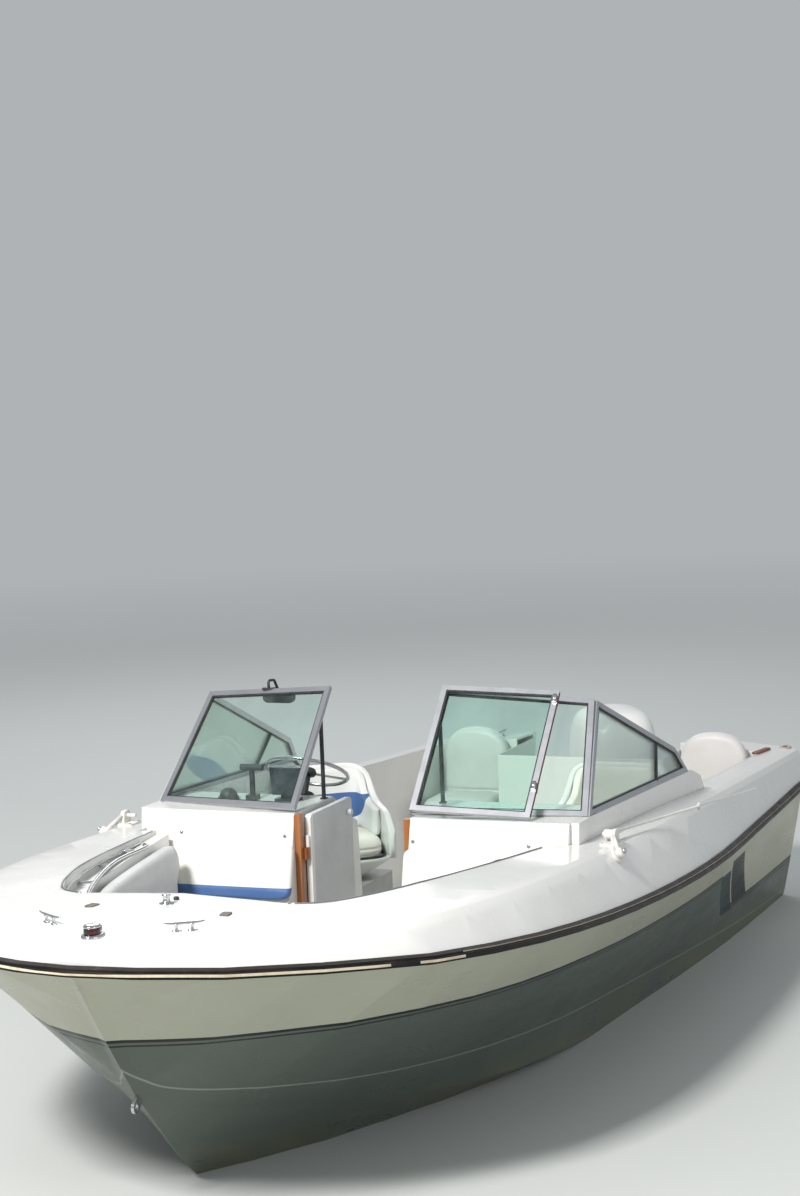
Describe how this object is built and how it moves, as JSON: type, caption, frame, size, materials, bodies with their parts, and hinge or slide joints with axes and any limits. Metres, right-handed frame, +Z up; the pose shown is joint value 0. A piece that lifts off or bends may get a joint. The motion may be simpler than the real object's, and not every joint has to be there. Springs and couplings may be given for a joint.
{
  "type": "outboard speedboat",
  "caption": "Open bow runabout with a deep V hull, a walk-through windscreen that folds, bucket and jump seats, a helm and a steered, tilting outboard motor.",
  "frame": {"origin": "amidships on the centreline, at the waterline of the boat as it floats empty", "axes": "+X to the bow, +Y to port, +Z up"},
  "size_m": [6.6314, 2.5796, 2.3244],
  "materials": {
    "black_plastic": "black moulded plastic",
    "bracket_metal": "black painted casting",
    "deck_gelcoat": "white gelcoat, sun worn",
    "door_board": "light grey moulded door with white edge",
    "hull_gelcoat": "gelcoat, grey blue below the stripes, faded",
    "liner_gelcoat": "white moulded liner, slightly yellowed",
    "motor_metal": "white enamel over cast aluminium, chalky",
    "motor_white": "white enamel",
    "navy_plastic": "dark navy housing",
    "prop_metal": "black painted aluminium, worn edges",
    "rail_insert": "cream rail insert, perished",
    "rail_rubber": "dark brown rub rail, weathered",
    "screen_frame": "anodised, brushed",
    "screen_glass": "green tinted safety glass",
    "seat_base": "grey moulded box",
    "seat_plastic": "moulded seat shell",
    "steel_bright": "polished stainless steel",
    "teak": "varnished teak, weathered",
    "vinyl_cream": "cream marine vinyl",
    "vinyl_grey": "pale grey marine vinyl",
    "vinyl_white": "white marine vinyl with blue bands",
    "white_plastic": "white moulded plastic"
  },
  "bodies": {
    "boat": {"aerial_mounts": "white_plastic", "bow_backrests": "vinyl_cream", "bow_benches": "liner_gelcoat", "bow_cleats": "steel_bright", "bow_cushions": "vinyl_cream", "bow_eye": "steel_bright", "bow_light": "steel_bright", "bow_liner": "liner_gelcoat", "bow_rails": "steel_bright", "bow_side_rests": "vinyl_grey", "clamp_bracket": "bracket_metal", "cockpit_liner": "liner_gelcoat", "compass": "black_plastic", "console_port": "deck_gelcoat", "console_starboard": "deck_gelcoat", "deck": "deck_gelcoat", "door_jambs": "teak", "engine_control": "black_plastic", "hull": "hull_gelcoat", "jump_seat_backs": "seat_plastic", "jump_seat_boxes": "liner_gelcoat", "jump_seat_pads": "vinyl_white", "mirror": "black_plastic", "rub_rail": "rail_rubber", "rub_rail_insert": "rail_insert", "screen_struts": "black_plastic", "seat_back_pad_port": "vinyl_cream", "seat_boxes": "seat_base", "seat_pad_port": "vinyl_cream", "seat_shell_port": "seat_plastic", "sole": "liner_gelcoat", "sounder": "navy_plastic", "splash_well": "liner_gelcoat", "steering_column": "black_plastic", "stern_cleats": "steel_bright", "windscreen_frame_port": "screen_frame", "windscreen_frame_starboard": "screen_frame", "windscreen_glass_port": "screen_glass", "windscreen_glass_starboard": "screen_glass"},
    "centre_pane": {"centre_pane_frame": "screen_frame", "centre_pane_glass": "screen_glass"},
    "door": {"walkthrough_door": "door_board"},
    "wheel": {"steering_wheel": "black_plastic"},
    "helm_seat": {"seat_shell_starboard": "seat_plastic", "seat_pad_starboard": "vinyl_cream", "seat_back_pad_starboard": "vinyl_white"},
    "aerial_pole": {"aerial": "white_plastic"},
    "motor_bracket": {"swivel_bracket": "bracket_metal"},
    "motor": {"engine_cowl": "motor_white", "drive_leg": "motor_metal", "gearcase": "motor_metal"},
    "prop": {"propeller": "prop_metal"}
  },
  "joints": [
    {"name": "centre_pane_fold", "type": "hinge", "parent": "boat", "child": "centre_pane", "pos_m": [0.65477, 0.262, 1.06419], "axis": [-0.6828, 0, 0.7306], "range_deg": [-183, 0]},
    {"name": "door_swing", "type": "hinge", "parent": "boat", "child": "door", "pos_m": [0.61, -0.226, 0.6], "axis": [0, 0, 1], "range_deg": [-90, 0]},
    {"name": "wheel_turn", "type": "hinge", "parent": "boat", "child": "wheel", "pos_m": [0.10194, -0.445, 1.11785], "axis": [-0.4861, 0, 0.8739], "continuous": true},
    {"name": "helm_seat_turn", "type": "hinge", "parent": "boat", "child": "helm_seat", "pos_m": [-0.58, -0.64, 0.5], "axis": [0, 0, 1], "range_deg": [-40, 35]},
    {"name": "aerial_fold", "type": "hinge", "parent": "boat", "child": "aerial_pole", "pos_m": [0.56, 1.088, 0.98599], "axis": [0, 1, 0], "range_deg": [0, 90]},
    {"name": "motor_tilt", "type": "hinge", "parent": "boat", "child": "motor_bracket", "pos_m": [-2.942, 0, 0.33], "axis": [0, 1, 0], "range_deg": [0, 60]},
    {"name": "motor_steer", "type": "hinge", "parent": "motor_bracket", "child": "motor", "pos_m": [-3.047, 0, 0.2], "axis": [0, 0, 1], "range_deg": [-64, 0]},
    {"name": "prop_spin", "type": "hinge", "parent": "motor", "child": "prop", "pos_m": [-3.24629, -0.12453, -0.56], "axis": [0.848, 0.5299, 0], "continuous": true}
  ]
}
